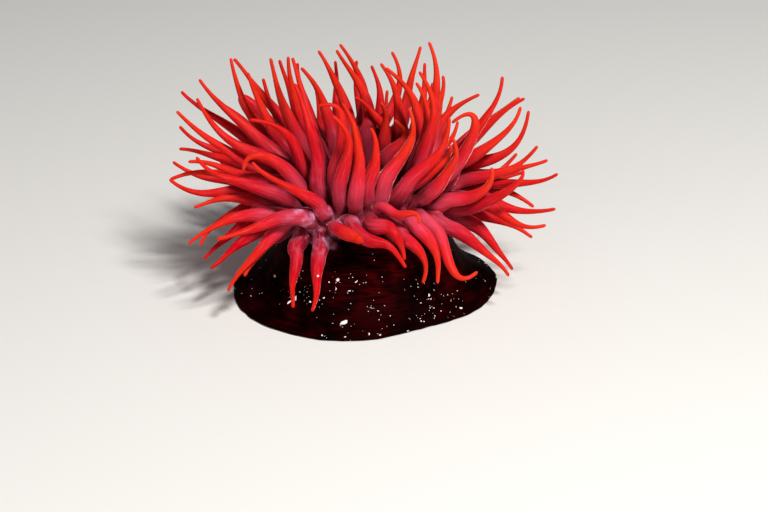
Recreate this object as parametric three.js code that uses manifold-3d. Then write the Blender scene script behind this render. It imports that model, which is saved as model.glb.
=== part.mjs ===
// Beadlet anemone, open, at life size. Millimetres, +Z up.
// The origin is the middle of the sole, on the surface that the animal sits on.
// Its broad datum view is along +Y: the front is -Y, and +X is on the right.

import * as THREE from "three";
import { mergeVertices } from "three/addons/utils/BufferGeometryUtils.js";
import Module from "manifold-3d";

const wasm = await Module();
wasm.setup();

// ---------------------------------------------------------------- driving dimensions
const RIGHT_ANGLE = Math.PI / 2;
const HEX_STEP = 15;                 // degrees between two roots of one ring of 24
const RING_COUNT = 24;

const SOLE_RADIUS = 26;
const LOBES = [                      // bearing, reach and half width in degrees of each lobe of the sole
  { bearing: -60, reach: -2.6, width: 24 },
  { bearing: 6, reach: 0.7, width: 20 },
  { bearing: 50, reach: -3.2, width: 20 },
  { bearing: -115, reach: 0.7, width: 30 },
  { bearing: 212, reach: 1.3, width: 28 },
];
const LOBES_FADE_AT = 10;            // height at which the column is round
const SOLE_HEIGHT = 2;
const COLUMN_TOP = 13.6;
const COLLAR_TOP = 15.6;
const DISC_TOP = 17;
const ROUND_STEPS = 32;
const MOUTH_STEPS = 18;

const SOLE_PROFILE = [[SOLE_RADIUS, 0], [SOLE_RADIUS + 0.1, 0.5], [25.2, 1.2], [23.6, SOLE_HEIGHT]];
const COLUMN_PROFILE = [
  [23.6, SOLE_HEIGHT], [21.4, 3.6], [19.6, 5.4], [18.3, 7.6], [17.3, 10], [16.2, 12], [15.7, COLUMN_TOP],
];
const COLLAR_PROFILE = [[15.7, COLUMN_TOP], [16.5, 14.8], [16.3, COLLAR_TOP]];
const DISC_PROFILE = [[15, COLLAR_TOP], [15, DISC_TOP]];
const MOUTH_PROFILE = [
  [8.6, DISC_TOP], [7.6, 17.4], [5, 17.9], [3.4, 18.8], [2.5, 19.1], [1.7, 18.7], [1.1, 17.7],
];
const MOUTH_DEPTH = 17.4;
const MOUTH_SLIT = 0.7;              // across the slit, as a share of its length

const BEAD_HEIGHT = 14.8;
const BEAD_REACH = 17.3;
const BETWEEN_BEADS = 16.2;
const BEADS_HIDDEN = [190, 345];     // no bead has filled out between these bearings

// tentacles
const TIP_RADIUS = 0.33;
const BULGE_AT = 0.22;               // the share of the way at which a tentacle has its full girth
const SWELL = 0.16;                  // how far a tentacle arches towards or away from the front, as a share
const HANGING = -4;                  // a tip this far below its root hangs, and arches by more
const HANGING_SWELL = 0.22;
const STUB_LENGTH = 14;              // a tentacle drawn in to less than this is blunt
const WANDER = 0.35;                 // how far a tentacle's own bends go, and how many waves they make
const WAVES = 1.4;
const STEM_RADIUS = 0.8;             // the part of a root inside the margin
const SIDES = 5;
const RING_SPACING = 24;             // length for each ring of corners, and degrees of turn for each more
const RING_TURN = 80;
const FINE_STEPS = 48;
const TIP_ROUNDING = 1.5;            // length of a tip's rounded end, as a share of its radius
const PRISM_GAIN = 1.05;             // a five-sided tube as wide as the round one
const SAMPLES = 25;
const SPARE = 0.35;                  // free water between two tentacles
const SPACING_ROUNDS = 36;
const EVENING_PASSES = 14;
const PRESS_STEPS = 5;               // checks along each straight stretch for tentacles that still touch
const PRESS_GAP = 0.25;
const THINNEST_SHARE = 0.55;
const THINNEST_RADIUS = 0.27;

// the datum plane leans back by VIEW_RISE, and is sighted from VIEW_DISTANCE
const VIEW_RISE = THREE.MathUtils.degToRad(25);
const VIEW_DISTANCE = 450;
const SIGHT_ACROSS = 3.8;
const SIGHT_UP = 5.4;

// A pose: where the tip is seen on the datum plane (across, up), how far back it lies (Y), and how far
// the tentacle bows to its left at a third and at two thirds of its way. Two more numbers, where there are
// any, say how far along towards the tip the two handles of its curve lie: a hook reaches past its tip.
// One more says how stout it is beside the rest of its row.
// LOOSE follows the crown's general habit. BARE has no tentacle.
const LOOSE = null;
const BARE = false;
const ROWS = [
  { name: "inner", ring: 9.9, height: 20.3, first: -180, lift: 66, length: 25,
    neck: 0.8, girth: 1.66, taper: 1.35, poses: [
    [-33.2, 41.2, 5, 0.5, 0.8], [-34, 37, -1, 0.7, 2], [-23.1, 32.8, -7, -2.2, -3.2],
    [-14.7, 45.3, 5, 0, -0.6], [-9.8, 35.5, -8, -2.2, -4.5, 0.33, 1], [-4.6, 36, -8, -1.5, -2],
    [0.6, 31.1, -10, -0.7, -2], [8.8, 35.3, -8, -0.6, -2], [17, 33.4, -9, -0.8, -2.3],
    [16.9, 28, -10, -0.5, -1.5], [11, 42.5, -1, -2, -3.2], [9.8, 40.3, 3, -1, -2.8],
    [12.6, 48.5, 12, -1.8, -2.4], [4.1, 43.3, 8, -2.6, -3.8], [15.2, 41.9, 14, 0, -1.5],
    [3.2, 44.2, 14, -1.4, -1.8], [5.6, 32.8, 8, -1.2, -2.8], [2.9, 36.3, 8, -1.2, -1.4],
    [-5.5, 46.9, 15, -3.6, -2.6], [-9.8, 46.6, 15, -2, -2.3], [-12.9, 43.3, 13, -1.6, -1.6],
    [-15.2, 45.7, 10, 2, 1.7], [-19.3, 45.1, 10, 0.5, 0.8], [-23.2, 42.5, 6, 1.6, 1.9],
  ] },
  { name: "second", ring: 12.2, height: 20.5, first: -172.5, lift: 56, length: 24,
    neck: 0.8, girth: 1.62, taper: 1.25, poses: [
    [-38, 34.5, -2, 1.2, 1], [-35.7, 24.1, -6, -0.2, -0.9], [-24.1, 22.5, -12, -3.4, -3.6, 0.33, 1.2],
    [-14.5, 40, -3, -0.9, -1.2], [-6.6, 33.7, -13, -1.05, -2.6], [-2.3, 32.4, -13, -0.4, -0.9],
    [10.8, 11.9, -20, -0.45, 1.45, 0.33, 0.94, 0.66], BARE, BARE, [17.5, 29.5, -12, -1.1, -2.5],
    [17.4, 31.8, -8, -3.7, -3.9, 0.33, 1.66], [30.9, 35.8, -2, -0.4, -2.2], [32.9, 34.6, 0, -1.9, -3.8],
    [32.2, 37.1, 8, 0, 0.3], [23, 37.9, 14, 1.2, 2.2], [12.3, 44.2, 19, -0.6, -0.8],
    [10.9, 47.7, 22, 0, -0.3], [5.3, 46.5, 22, -1.2, -2.5], [-5.1, 48, 22, -2.4, -3.2],
    [-10.4, 39.7, 16, -0.5, -0.5], [-16.9, 45, 16, 1.4, 1.2], [-26.6, 45, 15, 0.6, -0.5],
    [-27, 45.3, 10, 1.8, 2.6], [-36.8, 38.8, 8, -0.5, 0.2],
  ] },
  { name: "third", ring: 14.3, height: 20.1, first: -180, lift: 40, length: 25,
    neck: 0.85, girth: 1.64, taper: 1.15, poses: [
    [-37.6, 26.5, 4, -1, -1.6], [-39.2, 20.8, -4, -1.6, -2.2], [-34, 25.5, -12, 0.4, 1.3],
    [-27.3, -2.1, -20, -1.7, -1.5], [-22.4, 24.6, -16, -1.33, 0.27, -0.05, 0.58], [8.5, 3.3, -22, 1.4, 0.9],
    [7.8, 4.3, -21, 2.4, 2.5], [11.2, -0.4, -20, 2.4, 3.1], [14.8, -0.1, -20, 2.3, 2.1],
    [22.4, 2.3, -19, -0.93, -3, 0.3, 1.02], [25.2, 23.3, -11, -2.4, -3, 0.33, 0.99],
    [27.4, 41.8, -5, 0, -1.2], [34.8, 27.3, -2, -0.4, -1.6], [36.7, 25, 4, -0.8, -1.1],
    [31.3, 37.1, 12, 0.3, 0.8], [15.6, 38.5, 20, 0, -0.8], [-2.4, 37, 11, -1.2, -1.6],
    [1.5, 43.8, 24, 0, -0.6], LOOSE, LOOSE, LOOSE, [-20.8, 41, 18, 0.8, 0.9],
    [-22.6, 32.6, 12, -2.7, -1.3, 1.09, 1.72], [-37.3, 31.6, 6, 0, 1],
  ] },
  { name: "fourth", ring: 16.1, height: 18.9, first: -172.5, lift: 22, length: 23,
    neck: 0.92, girth: 1.64, taper: 1.15, poses: [
    [-39.4, 20.7, -6, -1.2, 1.2], [-34.3, 15.4, -12, -1.6, -1.5], [-35.4, 7.3, -16, -2.2, -2.8],
    [-29.9, 8.8, -22, -1.9, -0.5], [-0.6, 8.1, -23, 1, 0.6, 0.33, 0.67, 0.8], BARE, BARE, BARE, BARE,
    [28.7, 0.9, -15, 1, 1.3], [31.2, 23, -12, -2.1, -2.9, 0.27, 0.95], [36.4, 11.5, -12, 1.2, -0.6],
    [38.4, 14.8, -4, 0, -1.4], [38.8, 22.3, 2, -0.7, -1.6], [31.9, 21.8, 10, -0.5, -0.5], LOOSE, LOOSE,
    LOOSE, LOOSE, LOOSE, LOOSE, LOOSE, [-28, 35.8, 14, 0, -0.8], [-38.7, 24.1, 0, 0, 0.8],
  ] },
  { name: "outer", ring: 16.6, height: 17.3, first: -180, lift: 4, length: 21,
    neck: 0.95, girth: 1.62, taper: 1.15, poses: [
    [-32.5, 4.7, -10, -1.3, -0.6], [-31.2, 2.8, -14, 0.1, -0.2], [-24.2, 1.3, -19, -0.8, -0.8],
    [-14.7, -5, -23, -0.4, -0.2], [-10.5, -5.9, -25, 0.2, 0.2], BARE, BARE, BARE, BARE, BARE, BARE,
    [29.4, 2.2, -10, 1.8, 1.6], [33.7, 9.2, -6, 0.6, 0.5], [33.9, 15, 4, 1.8, 2.6], LOOSE, LOOSE, LOOSE,
    LOOSE, LOOSE, LOOSE, LOOSE, LOOSE, LOOSE, [-32.8, 6.9, -8, -1.6, -2.6],
  ] },
];


// blocks of the margin that the roots of one part of a ring grow from: radii and heights
const BLOCKS = {
  inner: { inside: 8.9, outside: 10.95, bottom: DISC_TOP, top: 18.8 },
  second: { inside: 11.2, outside: 13.15, bottom: DISC_TOP, top: 18.8 },
  third: { inside: 13.4, outside: 14.95, bottom: DISC_TOP, top: 18.8 },
  outer: { inside: 15.25, outside: 16.3, bottom: COLLAR_TOP, top: 18.3 },
};
const BLOCK_GAP = 0.3;
const BLOCK_STEPS = 2;
const SECTOR = 30;                   // degrees of the ring that one node holds
const SECTORS = 12;
// where the stem of each row starts, inside its block: radius and height
const STEMS = {
  inner: [9.9, 18.1],
  second: [12.2, 18.1],
  third: [14.2, 18.1],
  fourth: [15.75, 17.6],
  outer: [15.75, 16.9],
};

// ---------------------------------------------------------------- materials
const skin = (color, roughness) => new THREE.MeshStandardMaterial({ color, roughness, metalness: 0 });
const MATERIALS = {
  sole: skin(0x2a0405, 0.35),
  column: skin(0x220304, 0.25),
  collar: skin(0x3b0508, 0.3),
  disc: skin(0x6d0a12, 0.3),
  mouth: skin(0x8a1a22, 0.3),
  inner: skin(0xc8141c, 0.28),
  second: skin(0xc0121a, 0.28),
  third: skin(0xb81018, 0.28),
  outer: skin(0xb00e16, 0.28),
};

// ---------------------------------------------------------------- solids
function closedMesh(geometry) {
  const bare = geometry.clone();
  bare.deleteAttribute("normal");
  bare.deleteAttribute("uv");
  const merged = mergeVertices(bare, 1e-4);
  const corners = merged.index.array;
  const triangles = [];
  for (let k = 0; k < corners.length; k += 3) {
    const [a, b, c] = [corners[k], corners[k + 1], corners[k + 2]];
    if (a !== b && b !== c && c !== a) triangles.push(a, b, c);
  }
  return { points: merged.attributes.position.array, triangles };
}

function signedVolume({ points, triangles }) {
  const corner = (k) => new THREE.Vector3().fromArray(points, 3 * k);
  let volume = 0;
  for (let k = 0; k < triangles.length; k += 3) {
    const [a, b, c] = [corner(triangles[k]), corner(triangles[k + 1]), corner(triangles[k + 2])];
    volume += a.dot(b.cross(c)) / 6;
  }
  return volume;
}

function solidOf(geometry) {
  const mesh = closedMesh(geometry);
  if (signedVolume(mesh) < 0) {
    for (let k = 0; k < mesh.triangles.length; k += 3) {
      const second = mesh.triangles[k + 1];
      mesh.triangles[k + 1] = mesh.triangles[k + 2];
      mesh.triangles[k + 2] = second;
    }
  }
  return new wasm.Manifold(new wasm.Mesh({
    numProp: 3,
    vertProperties: new Float32Array(mesh.points),
    triVerts: new Uint32Array(mesh.triangles),
  }));
}

function geometryOf(solid) {
  const mesh = solid.getMesh();
  const geometry = new THREE.BufferGeometry();
  geometry.setAttribute("position", new THREE.BufferAttribute(new Float32Array(mesh.vertProperties), 3));
  geometry.setIndex(new THREE.BufferAttribute(new Uint32Array(mesh.triVerts), 1));
  geometry.computeVertexNormals();
  return geometry;
}

// ---------------------------------------------------------------- round parts
function lobeReach(bearing, height) {
  const fade = Math.max(0, 1 - height / LOBES_FADE_AT);
  let reach = 0;
  for (const lobe of LOBES) {
    const turn = THREE.MathUtils.euclideanModulo(bearing - lobe.bearing + 180, 360) - 180;
    reach += lobe.reach * Math.exp(-((turn / lobe.width) ** 2));
  }
  return reach * fade * fade;
}

// a closed turned body from a profile of [radius, height], with its axis along Z
function turned(profile, lowest, highest, steps = ROUND_STEPS) {
  const points = [[0, lowest], ...profile, [0, highest]].map(([r, z]) => new THREE.Vector2(r, z));
  return new THREE.LatheGeometry(points, steps).rotateX(RIGHT_ANGLE);
}

function lobed(geometry) {
  const places = geometry.attributes.position;
  for (let k = 0; k < places.count; k += 1) {
    const [x, y, z] = [places.getX(k), places.getY(k), places.getZ(k)];
    const radius = Math.hypot(x, y);
    if (radius < 1e-3) continue;
    const share = 1 + lobeReach(THREE.MathUtils.radToDeg(Math.atan2(y, x)), z) / SOLE_RADIUS;
    places.setXY(k, x * share, y * share);
  }
  return geometry;
}

// the collar's widest ring swells into a bead at every second corner
function beadedCollar() {
  const geometry = turned(COLLAR_PROFILE, COLUMN_TOP, COLLAR_TOP, 2 * RING_COUNT);
  const places = geometry.attributes.position;
  for (let k = 0; k < places.count; k += 1) {
    const [x, y] = [places.getX(k), places.getY(k)];
    if (Math.abs(places.getZ(k) - BEAD_HEIGHT) > 1e-3) continue;
    const bearing = THREE.MathUtils.euclideanModulo(THREE.MathUtils.radToDeg(Math.atan2(y, x)), 360);
    const bare = bearing > BEADS_HIDDEN[0] && bearing < BEADS_HIDDEN[1];
    const corner = Math.round(2 * bearing / HEX_STEP);
    const radius = corner % 2 === 0 && !bare ? BEAD_REACH : BETWEEN_BEADS;
    const share = radius / Math.hypot(x, y);
    places.setXY(k, x * share, y * share);
  }
  return geometry;
}

function mouthCone() {
  const geometry = turned(MOUTH_PROFILE, DISC_TOP, MOUTH_DEPTH, MOUTH_STEPS);
  const places = geometry.attributes.position;
  for (let k = 0; k < places.count; k += 1) {
    const radius = Math.hypot(places.getX(k), places.getY(k));
    if (radius < MOUTH_PROFILE[3][0] + 0.01) places.setY(k, places.getY(k) * MOUTH_SLIT);
  }
  return geometry;
}

// ---------------------------------------------------------------- tentacle curves
const SIGHT_RIGHT = new THREE.Vector3(1, 0, 0);
const SIGHT_RISE = new THREE.Vector3(0, Math.sin(VIEW_RISE), Math.cos(VIEW_RISE));
const SIGHT_AHEAD = new THREE.Vector3(0, Math.cos(VIEW_RISE), -Math.sin(VIEW_RISE));
const SIGHT_POINT = new THREE.Vector3()
  .addScaledVector(SIGHT_RIGHT, SIGHT_ACROSS)
  .addScaledVector(SIGHT_RISE, SIGHT_UP)
  .addScaledVector(SIGHT_AHEAD, -VIEW_DISTANCE);

function sighted(across, up, back) {
  const mark = new THREE.Vector3().addScaledVector(SIGHT_RIGHT, across).addScaledVector(SIGHT_RISE, up);
  const share = (back - SIGHT_POINT.y) / (mark.y - SIGHT_POINT.y);
  return mark.sub(SIGHT_POINT).multiplyScalar(share).add(SIGHT_POINT);
}

function direction(bearing, lift) {
  const [b, l] = [THREE.MathUtils.degToRad(bearing), THREE.MathUtils.degToRad(lift)];
  return new THREE.Vector3(Math.cos(b) * Math.cos(l), Math.sin(b) * Math.cos(l), Math.sin(l));
}

function rootOf(row, index) {
  const bearing = row.first + HEX_STEP * index;
  return { bearing, place: direction(bearing, 0).multiplyScalar(row.ring).setZ(row.height) };
}

function posedCurve(row, index, pose) {
  const { bearing, place } = rootOf(row, index);
  const [across, up, back, bowNear, bowFar, near = 1 / 3, far = 2 / 3] = pose;
  const tip = sighted(across, up, back);
  const span = tip.clone().sub(place);
  const left = span.clone().cross(SIGHT_AHEAD).normalize();
  const share = span.z < HANGING ? HANGING_SWELL : SWELL;
  const swell = -share * span.length() * Math.sin(THREE.MathUtils.degToRad(bearing));
  const first = place.clone().addScaledVector(span, near)
    .addScaledVector(left, 3 * bowNear - 1.5 * bowFar)
    .addScaledVector(SIGHT_AHEAD, -swell);
  const second = place.clone().addScaledVector(span, far)
    .addScaledVector(left, 3 * bowFar - 1.5 * bowNear)
    .addScaledVector(SIGHT_AHEAD, -0.6 * swell);
  return new THREE.CubicBezierCurve3(place, first, second, tip);
}

// out from the root, over with its own weight, and up again at the tip
function looseCurve(row, index, rowNumber) {
  const { bearing, place } = rootOf(row, index);
  const sway = 14 * Math.sin(2.4 * index + rowNumber);
  const lift = row.lift + 5 * Math.sin(1.7 * index);
  const length = row.length * (1 + 0.1 * Math.sin(3.1 * index + 1));
  const first = place.clone().addScaledVector(direction(bearing, lift), 0.33 * length);
  const second = first.clone().addScaledVector(direction(bearing + sway, lift - 14), 0.35 * length);
  const tip = second.clone().addScaledVector(direction(bearing + sway, lift + 52), 0.32 * length);
  return new THREE.CubicBezierCurve3(place, first, second, tip);
}

// a slight bend of its own, to and fro along a tentacle
function wander(points, phase) {
  const span = points[points.length - 1].clone().sub(points[0]);
  const left = span.clone().cross(SIGHT_AHEAD).normalize();
  const over = left.clone().cross(span).normalize();
  const reach = WANDER * Math.min(1, span.length() / STUB_LENGTH) ** 3;
  points.forEach((point, k) => {
    const along = k / (points.length - 1);
    const turn = 2 * Math.PI * WAVES * along + phase;
    point.addScaledVector(left, reach * along * Math.sin(turn));
    point.addScaledVector(over, reach * along * Math.cos(turn + phase));
  });
}

function lengthOf(points) {
  return points.slice(1).reduce((sum, point, k) => sum + point.distanceTo(points[k]), 0);
}

// a tentacle's radius at a share of its way from root to tip
function thickness({ neck, girth, taper, tipRadius }, along) {
  const body = tipRadius + (girth - tipRadius) * Math.cos(RIGHT_ANGLE * along ** taper) ** 2;
  return body * (neck + (1 - neck) * Math.min(1, along / BULGE_AT));
}

function allTentacles() {
  const tentacles = [];
  ROWS.forEach((row, rowNumber) => row.poses.forEach((pose, index) => {
    if (pose === BARE) return;
    const curve = pose === LOOSE ? looseCurve(row, index, rowNumber) : posedCurve(row, index, pose);
    const points = curve.getPoints(SAMPLES - 1);
    wander(points, 2.4 * index + rowNumber);
    const length = lengthOf(points);
    const drawnIn = Math.max(1, STUB_LENGTH / length) ** 3;
    const stoutness = pose?.[7] ?? 1;
    const tipRadius = TIP_RADIUS * drawnIn;
    tentacles.push({
      row: row.name, bearing: row.first + HEX_STEP * index, points, neck: row.neck,
      girth: row.girth * stoutness,
      taper: row.taper * drawnIn, tipRadius, lastRing: 1 - TIP_ROUNDING * tipRadius / length,
    });
  }));
  return tentacles;
}

// ---------------------------------------------------------------- spacing
// the crown's own body, that no tentacle passes through: [height, radius]
const CROWN_BODY = [
  [-1, 28], [0, 27.5], [1.2, 27], [2, 25], [3.6, 22.5], [5.4, 20.6], [7.6, 19], [10, 17.8], [12, 16.8],
  [13.6, 16.4], [14.2, 17.4], [15.6, 17.4], [16.4, 16.4], [18.3, 16.4], [18.8, 15.4], [19, 12],
];
const SHOULDER = 16.2;               // rows from the side of the margin are free of it above here
const SIDE_ROWS = ["fourth", "outer"];

function crownRadius(height) {
  for (let k = 1; k < CROWN_BODY.length; k += 1) {
    const [[z0, r0], [z1, r1]] = [CROWN_BODY[k - 1], CROWN_BODY[k]];
    if (height < z1) return r0 + (r1 - r0) * Math.max(0, (height - z0) / (z1 - z0));
  }
  return 0;
}

// Tentacles that come too near each other move apart by the same amount, with their roots held. The
// movement is evened out along each one, so that it bends and doesn't kink.
function spaceOut(tentacles) {
  const radii = tentacles.flatMap((t) => t.points.map((_, k) => thickness(t, k / (SAMPLES - 1))));
  const count = tentacles.length * SAMPLES;
  const at = new Float64Array(3 * count);
  tentacles.forEach((t, n) => t.points.forEach((p, k) => p.toArray(at, 3 * (n * SAMPLES + k))));
  const widest = 2 * Math.max(...radii) + SPARE;
  for (let round = 0; round < SPACING_ROUNDS; round += 1) {
    const push = new Float64Array(3 * count);
    const total = new Float64Array(count);
    for (let i = 0; i < count; i += 1) {
      const nextOwner = (Math.floor(i / SAMPLES) + 1) * SAMPLES;
      for (let j = nextOwner; j < count; j += 1) {
        const dx = at[3 * i] - at[3 * j];
        if (dx > widest || dx < -widest) continue;
        const dy = at[3 * i + 1] - at[3 * j + 1];
        if (dy > widest || dy < -widest) continue;
        const dz = at[3 * i + 2] - at[3 * j + 2];
        const need = radii[i] + radii[j] + SPARE;
        const distance = Math.sqrt(dx * dx + dy * dy + dz * dz) + 1e-9;
        const over = need - distance;
        if (over <= 0) continue;
        const weight = over * over / distance;
        push[3 * i] += weight * dx;
        push[3 * i + 1] += weight * dy;
        push[3 * i + 2] += weight * dz;
        push[3 * j] -= weight * dx;
        push[3 * j + 1] -= weight * dy;
        push[3 * j + 2] -= weight * dz;
        total[i] += over;
        total[j] += over;
      }
    }
    tentacles.forEach((tentacle, n) => {
      const moves = [];
      for (let k = 0; k < SAMPLES; k += 1) {
        const i = n * SAMPLES + k;
        const move = new THREE.Vector3().fromArray(push, 3 * i);
        move.multiplyScalar(0.5 / Math.max(total[i], 1e-9));
        const [x, y, z] = [at[3 * i], at[3 * i + 1], at[3 * i + 2]];
        const out = Math.hypot(x, y);
        const onSide = SIDE_ROWS.includes(tentacle.row);
        const tooFarIn = crownRadius(z) + radii[i] + 0.3 - out;
        if (tooFarIn > 0 && z < 19 && !(onSide && z > SHOULDER)) {
          move.x += 0.5 * tooFarIn * x / out;
          move.y += 0.5 * tooFarIn * y / out;
        }
        move.z += 0.5 * Math.max(0, radii[i] + 0.6 - z);
        moves.push(move);
      }
      for (let pass = 0; pass < EVENING_PASSES; pass += 1) {
        const before = moves.map((move) => move.clone());
        for (let k = 1; k < SAMPLES - 1; k += 1) {
          moves[k].multiplyScalar(0.5)
            .addScaledVector(before[k - 1], 0.25)
            .addScaledVector(before[k + 1], 0.25);
        }
        moves[SAMPLES - 1].copy(before[SAMPLES - 1]).add(before[SAMPLES - 2]).multiplyScalar(0.5);
      }
      moves.forEach((move, k) => {
        const free = THREE.MathUtils.smoothstep(k / (SAMPLES - 1), 0, 0.3);
        const i = n * SAMPLES + k;
        at[3 * i] += move.x * free;
        at[3 * i + 1] += move.y * free;
        at[3 * i + 2] += move.z * free;
      });
    });
  }
  tentacles.forEach((t, n) => t.points.forEach((p, k) => p.fromArray(at, 3 * (n * SAMPLES + k))));
}

// ---------------------------------------------------------------- tentacle solids
// stations along a curve, closer together where it bends
function stationsOn(curve) {
  const cost = [0];
  for (let k = 1; k <= FINE_STEPS; k += 1) {
    const [before, after] = [(k - 1) / FINE_STEPS, k / FINE_STEPS];
    const step = curve.getPoint(before).distanceTo(curve.getPoint(after));
    const turn = THREE.MathUtils.radToDeg(curve.getTangent(before).angleTo(curve.getTangent(after)));
    cost.push(cost[k - 1] + step / RING_SPACING + turn / RING_TURN);
  }
  const count = Math.round(cost[FINE_STEPS]);
  return Array.from({ length: count }, (_, k) => {
    const share = cost[FINE_STEPS] * k / count;
    return cost.findIndex((value) => value >= share) / FINE_STEPS;
  });
}

// where a tentacle's rings of corners are, which way they face and how wide they are
function layStations(tentacle) {
  const [stemRadius, stemHeight] = STEMS[tentacle.row];
  const stem = direction(tentacle.bearing, 0).multiplyScalar(stemRadius).setZ(stemHeight);
  const curve = new THREE.CatmullRomCurve3(tentacle.points, false, "centripetal");
  const alongs = [...stationsOn(curve), tentacle.lastRing];
  tentacle.places = [stem, ...alongs.map((along) => curve.getPoint(along))];
  tentacle.radii = [STEM_RADIUS, ...alongs.map((along) => thickness(tentacle, along))];
  tentacle.tangents = [tentacle.places[1].clone().sub(stem).normalize()];
  for (const along of alongs) tentacle.tangents.push(curve.getTangent(along));
  tentacle.tangents[1].add(tentacle.tangents[0]).normalize();
  tentacle.tip = curve.getPoint(1);
}

// points of a tentacle's straight stretches, each with its radius and the stations before and after it
function axisOf(tentacle) {
  const axis = [];
  for (let k = 1; k < tentacle.places.length; k += 1) {
    for (let part = 0; part < PRESS_STEPS; part += 1) {
      const share = part / PRESS_STEPS;
      axis.push({
        place: tentacle.places[k - 1].clone().lerp(tentacle.places[k], share),
        radius: THREE.MathUtils.lerp(tentacle.radii[k - 1], tentacle.radii[k], share),
        stations: [k - 1, k],
      });
    }
  }
  return axis;
}

// tentacles that still touch are pressed thinner where they do
function pressApart(tentacles) {
  const axes = tentacles.map(axisOf);
  const shares = tentacles.map((tentacle) => tentacle.radii.map(() => 1));
  for (let one = 0; one < axes.length; one += 1) {
    for (let other = one + 1; other < axes.length; other += 1) {
      for (const a of axes[one]) {
        for (const b of axes[other]) {
          const room = (a.place.distanceTo(b.place) - PRESS_GAP) / (a.radius + b.radius);
          if (room >= 1) continue;
          for (const k of a.stations) shares[one][k] = Math.min(shares[one][k], room);
          for (const k of b.stations) shares[other][k] = Math.min(shares[other][k], room);
        }
      }
    }
  }
  tentacles.forEach((tentacle, n) => {
    tentacle.radii = tentacle.radii.map((radius, k) => (
      Math.max(radius * Math.max(shares[n][k], THINNEST_SHARE), THINNEST_RADIUS)));
  });
}

// a turned spindle, bent so that its axis follows the tentacle's curve
function tentacleSolid({ bearing, places, radii, tangents, tip }) {
  const stations = [...places, tip];
  const facing = [...tangents, tangents[tangents.length - 1]];
  const sideways = [];
  facing.forEach((tangent, k) => {
    const from = k === 0 ? direction(bearing + 90, 0) : sideways[k - 1];
    sideways.push(from.clone().addScaledVector(tangent, -from.dot(tangent)).normalize());
  });
  const profile = [[0, 0], ...radii.map((radius, k) => [PRISM_GAIN * radius, k]), [0, radii.length]];
  const spindle = new THREE.LatheGeometry(profile.map(([r, k]) => new THREE.Vector2(r, k)), SIDES);
  const corners = spindle.attributes.position;
  for (let k = 0; k < corners.count; k += 1) {
    const station = Math.round(corners.getY(k));
    const across = facing[station].clone().cross(sideways[station]);
    const place = stations[station].clone()
      .addScaledVector(sideways[station], corners.getX(k))
      .addScaledVector(across, corners.getZ(k));
    corners.setXYZ(k, place.x, place.y, place.z);
  }
  return solidOf(spindle);
}

function marginBlock(block, firstBearing, lastBearing) {
  const trim = THREE.MathUtils.radToDeg(BLOCK_GAP / 2 / block.inside);
  const start = THREE.MathUtils.degToRad(firstBearing + trim);
  const end = THREE.MathUtils.degToRad(lastBearing - trim);
  const outline = new THREE.Shape();
  outline.absarc(0, 0, block.outside, start, end, false);
  outline.absarc(0, 0, block.inside, end, start, true);
  outline.closePath();
  const geometry = new THREE.ExtrudeGeometry(outline, {
    depth: block.top - block.bottom, bevelEnabled: false, curveSegments: BLOCK_STEPS,
  });
  return solidOf(geometry.translate(0, 0, block.bottom));
}

function sectorOf(tentacle, firstBearing) {
  return Math.floor(THREE.MathUtils.euclideanModulo(tentacle.bearing - firstBearing, 360) / SECTOR);
}

// ---------------------------------------------------------------- the animal
const anemone = new THREE.Group();

function addNode(name, geometry, material) {
  const mesh = new THREE.Mesh(geometry, material);
  mesh.name = name;
  anemone.add(mesh);
}

addNode("sole", lobed(turned(SOLE_PROFILE, 0, SOLE_HEIGHT)), MATERIALS.sole);
addNode("column", lobed(turned(COLUMN_PROFILE, SOLE_HEIGHT, COLUMN_TOP)), MATERIALS.column);
addNode("collar", beadedCollar(), MATERIALS.collar);
addNode("oral_disc", turned(DISC_PROFILE, COLLAR_TOP, DISC_TOP), MATERIALS.disc);
addNode("mouth", mouthCone(), MATERIALS.mouth);

// a sector's first bearing, half a step before its first root
const GROUPS = [
  { name: "inner", rows: ["inner"], firstBearing: -187.5 },
  { name: "second", rows: ["second"], firstBearing: -180 },
  { name: "third", rows: ["third"], firstBearing: -187.5 },
  { name: "outer", rows: ["fourth", "outer"], firstBearing: -183.75 },
];

const tentacles = allTentacles();
spaceOut(tentacles);
tentacles.forEach(layStations);
pressApart(tentacles);
for (const group of GROUPS) {
  for (let sector = 0; sector < SECTORS; sector += 1) {
    const members = tentacles.filter((t) => group.rows.includes(t.row)
      && sectorOf(t, group.firstBearing) === sector);
    if (members.length === 0) continue;
    const from = group.firstBearing + SECTOR * sector;
    let solid = marginBlock(BLOCKS[group.name], from, from + SECTOR);
    for (const member of members) solid = solid.add(tentacleSolid(member));
    addNode(`tentacles_${group.name}_${String(sector + 1).padStart(2, "0")}`, geometryOf(solid),
      MATERIALS[group.name]);
  }
}

export default anemone;
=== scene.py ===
"""A beadlet anemone, open, at life size.

One wet skin covers the foot, the column, the crown and its tentacles. A ring of beads sits under the crown,
and grains of shell grit stick to the column. Everything is laid out in millimetres and made in metres.
"""
import math
import random

import bmesh
import bpy
import numpy as np
from mathutils import Matrix, Vector, noise
from mathutils.bvhtree import BVHTree
from mathutils.kdtree import KDTree


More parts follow.
